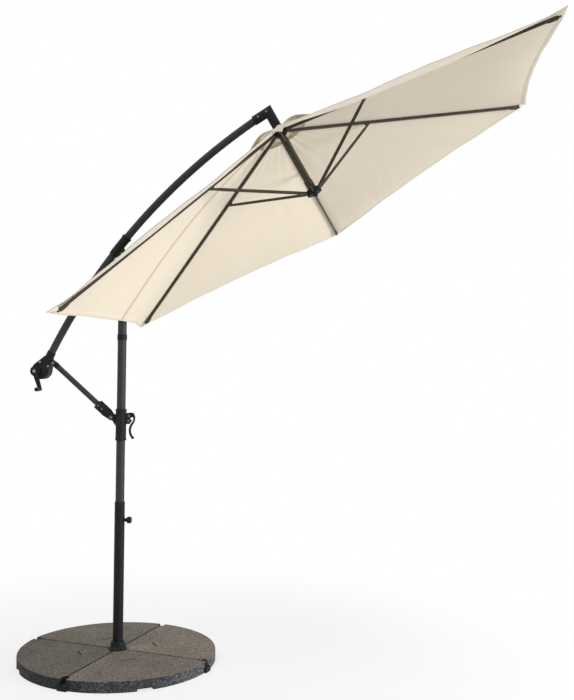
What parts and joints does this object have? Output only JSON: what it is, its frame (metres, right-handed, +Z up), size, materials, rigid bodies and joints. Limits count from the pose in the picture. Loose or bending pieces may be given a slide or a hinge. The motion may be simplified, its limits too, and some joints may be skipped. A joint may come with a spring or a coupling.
{
  "type": "cantilever patio umbrella with base",
  "caption": "Side-post patio umbrella: a curved boom tilts on the post, carries a hexagonal fabric canopy on folding ribs, and stands on a round base of separate weight plates.",
  "frame": {"origin": "on the post's axis, at the ground under the cross frame", "axes": "+Z up the post; +X from the post towards the canopy, in the plane in which the boom tilts; +Y completes the frame"},
  "size_m": [2.6109, 2.956, 3.0083],
  "materials": {
    "painted_steel": "satin dark charcoal powder coat",
    "stone": "speckled cast stone, matt",
    "black_plastic": "fine-grained black moulding",
    "zinc_steel": "zinc-plated fasteners",
    "frame_metal": "dark bronze-black paint",
    "canopy_fabric": "woven polyester, cream"
  },
  "bodies": {
    "base": {"cross_frame": "painted_steel", "arm_caps": "black_plastic", "weight_plate_1": "stone", "weight_plate_2": "stone", "weight_plate_3": "stone", "weight_plate_4": "stone", "post_flange": "painted_steel", "flange_bolts": "zinc_steel", "foot_cover": "black_plastic", "lower_post": "painted_steel", "post_bushes": "black_plastic"},
    "mast": {"upper_post": "painted_steel", "post_collar": "black_plastic", "post_cap": "black_plastic", "boom_pin": "zinc_steel"},
    "knob": {"clamp_knob": "black_plastic"},
    "slider": {"slider_sleeve": "black_plastic", "lever_bracket": "black_plastic", "bracket_bolts": "zinc_steel"},
    "lever": {"slider_lever": "black_plastic"},
    "boom": {"boom_tube": "painted_steel", "boom_saddle": "black_plastic", "housing_left": "black_plastic", "housing_right": "black_plastic", "housing_screws": "zinc_steel", "strut_bolt": "zinc_steel", "elbow": "black_plastic", "elbow_bolts": "zinc_steel", "centre_pole": "frame_metal", "crown_hub": "black_plastic", "crown_pins": "zinc_steel", "vent_cap": "canopy_fabric"},
    "strut": {"strut_tube": "painted_steel", "strut_fork": "black_plastic", "strut_channel": "black_plastic", "channel_bolts": "zinc_steel"},
    "crank": {"cord_drum": "black_plastic", "crank_handle": "black_plastic", "crank_bolt": "zinc_steel"},
    "pulley": {"cord_pulley": "zinc_steel"},
    "runner": {"runner": "black_plastic"},
    "rib_1": {"rib_1": "frame_metal", "gore_1": "canopy_fabric"},
    "stretcher_1": {"stretcher_1": "frame_metal"},
    "rib_2": {"rib_2": "frame_metal", "gore_2": "canopy_fabric"},
    "stretcher_2": {"stretcher_2": "frame_metal"},
    "rib_3": {"rib_3": "frame_metal", "gore_3": "canopy_fabric"},
    "stretcher_3": {"stretcher_3": "frame_metal"},
    "rib_4": {"rib_4": "frame_metal", "gore_4": "canopy_fabric"},
    "stretcher_4": {"stretcher_4": "frame_metal"},
    "rib_5": {"rib_5": "frame_metal", "gore_5": "canopy_fabric"},
    "stretcher_5": {"stretcher_5": "frame_metal"},
    "rib_6": {"rib_6": "frame_metal", "gore_6": "canopy_fabric"},
    "stretcher_6": {"stretcher_6": "frame_metal"}
  },
  "joints": [
    {"name": "mast_swivel", "type": "hinge", "parent": "base", "child": "mast", "pos_m": [0, 0, 0.803], "axis": [0, 0, 1], "continuous": true},
    {"name": "knob_turn", "type": "hinge", "parent": "base", "child": "knob", "pos_m": [0.026, 0, 0.716], "axis": [1, 0, 0], "range_deg": [-180, 180]},
    {"name": "boom_tilt", "type": "hinge", "parent": "mast", "child": "boom", "pos_m": [0, 0, 2.078], "axis": [0, -1, 0], "range_deg": [0, 18]},
    {"name": "slider_slide", "type": "slide", "parent": "mast", "child": "slider", "axis": [0, 0, 1], "range_m": [-0.20926, 0]},
    {"name": "lever_turn", "type": "hinge", "parent": "slider", "child": "lever", "pos_m": [0.045, 0, 1.25087], "axis": [0, -1, 0], "range_deg": [0, 60]},
    {"name": "strut_turn", "type": "hinge", "parent": "boom", "child": "strut", "pos_m": [-0.36261, 0, 1.51557], "axis": [0, -1, 0], "range_deg": [-49.82, 0]},
    {"name": "rib_1_fold", "type": "hinge", "parent": "boom", "child": "rib_1", "pos_m": [0.78591, -0.015, 2.68166], "axis": [0.433, -0.866, 0.25], "range_deg": [0, 71], "deforming": ["gore_1", "gore_2", "gore_3", "gore_4", "gore_5", "gore_6", "vent_cap"]},
    {"name": "rib_2_fold", "type": "hinge", "parent": "boom", "child": "rib_2", "pos_m": [0.80841, -0.03, 2.69465], "axis": [0.866, 0, 0.5], "range_deg": [0, 71]},
    {"name": "rib_3_fold", "type": "hinge", "parent": "boom", "child": "rib_3", "pos_m": [0.83091, -0.015, 2.70764], "axis": [0.433, 0.866, 0.25], "range_deg": [0, 71]},
    {"name": "rib_4_fold", "type": "hinge", "parent": "boom", "child": "rib_4", "pos_m": [0.83091, 0.015, 2.70764], "axis": [-0.433, 0.866, -0.25], "range_deg": [0, 71]},
    {"name": "rib_5_fold", "type": "hinge", "parent": "boom", "child": "rib_5", "pos_m": [0.80841, 0.03, 2.69465], "axis": [-0.866, 0, -0.5], "range_deg": [0, 71]},
    {"name": "rib_6_fold", "type": "hinge", "parent": "boom", "child": "rib_6", "pos_m": [0.78591, 0.015, 2.68166], "axis": [-0.433, -0.866, -0.25], "range_deg": [0, 71]},
    {"name": "stretcher_1_fold", "type": "hinge", "parent": "rib_1", "child": "stretcher_1", "pos_m": [0.51385, -0.24128, 2.36903], "axis": [0.433, -0.866, 0.25], "range_deg": [-133.66, 0]},
    {"name": "stretcher_2_fold", "type": "hinge", "parent": "rib_2", "child": "stretcher_2", "pos_m": [0.87577, -0.48255, 2.57798], "axis": [0.866, 0, 0.5], "range_deg": [-133.66, 0]},
    {"name": "stretcher_3_fold", "type": "hinge", "parent": "rib_3", "child": "stretcher_3", "pos_m": [1.23768, -0.24128, 2.78693], "axis": [0.433, 0.866, 0.25], "range_deg": [-133.66, 0]},
    {"name": "stretcher_4_fold", "type": "hinge", "parent": "rib_4", "child": "stretcher_4", "pos_m": [1.23768, 0.24128, 2.78693], "axis": [-0.433, 0.866, -0.25], "range_deg": [-133.66, 0]},
    {"name": "stretcher_5_fold", "type": "hinge", "parent": "rib_5", "child": "stretcher_5", "pos_m": [0.87577, 0.48255, 2.57798], "axis": [-0.866, 0, -0.5], "range_deg": [-133.66, 0]},
    {"name": "stretcher_6_fold", "type": "hinge", "parent": "rib_6", "child": "stretcher_6", "pos_m": [0.51385, 0.24128, 2.36903], "axis": [-0.433, -0.866, -0.25], "range_deg": [-133.66, 0]},
    {"name": "runner_slide", "type": "slide", "parent": "boom", "child": "runner", "axis": [0.5, 0, -0.866], "range_m": [0, 0.62711]},
    {"name": "crank_turn", "type": "hinge", "parent": "boom", "child": "crank", "pos_m": [-0.44769, 0, 1.47373], "axis": [0, 1, 0], "range_deg": [0, 2477.99]},
    {"name": "pulley_turn", "type": "hinge", "parent": "boom", "child": "pulley", "pos_m": [0.73746, 0, 2.79756], "axis": [0, 1, 0], "range_deg": [0, 4491.35]}
  ],
  "couplings": [
    {"joint": "slider_slide", "follows": "boom_tilt", "m_per_rad": -0.66609},
    {"joint": "strut_turn", "follows": "boom_tilt", "ratio": -2.7674},
    {"joint": "rib_2_fold", "follows": "rib_1_fold", "ratio": 1},
    {"joint": "rib_3_fold", "follows": "rib_1_fold", "ratio": 1},
    {"joint": "rib_4_fold", "follows": "rib_1_fold", "ratio": 1},
    {"joint": "rib_5_fold", "follows": "rib_1_fold", "ratio": 1},
    {"joint": "rib_6_fold", "follows": "rib_1_fold", "ratio": 1},
    {"joint": "stretcher_1_fold", "follows": "rib_1_fold", "ratio": -1.8826},
    {"joint": "stretcher_2_fold", "follows": "rib_1_fold", "ratio": -1.8826},
    {"joint": "stretcher_3_fold", "follows": "rib_1_fold", "ratio": -1.8826},
    {"joint": "stretcher_4_fold", "follows": "rib_1_fold", "ratio": -1.8826},
    {"joint": "stretcher_5_fold", "follows": "rib_1_fold", "ratio": -1.8826},
    {"joint": "stretcher_6_fold", "follows": "rib_1_fold", "ratio": -1.8826},
    {"joint": "runner_slide", "follows": "rib_1_fold", "m_per_rad": 0.50607},
    {"joint": "crank_turn", "follows": "rib_1_fold", "ratio": 34.901},
    {"joint": "pulley_turn", "follows": "rib_1_fold", "ratio": 63.258}
  ]
}
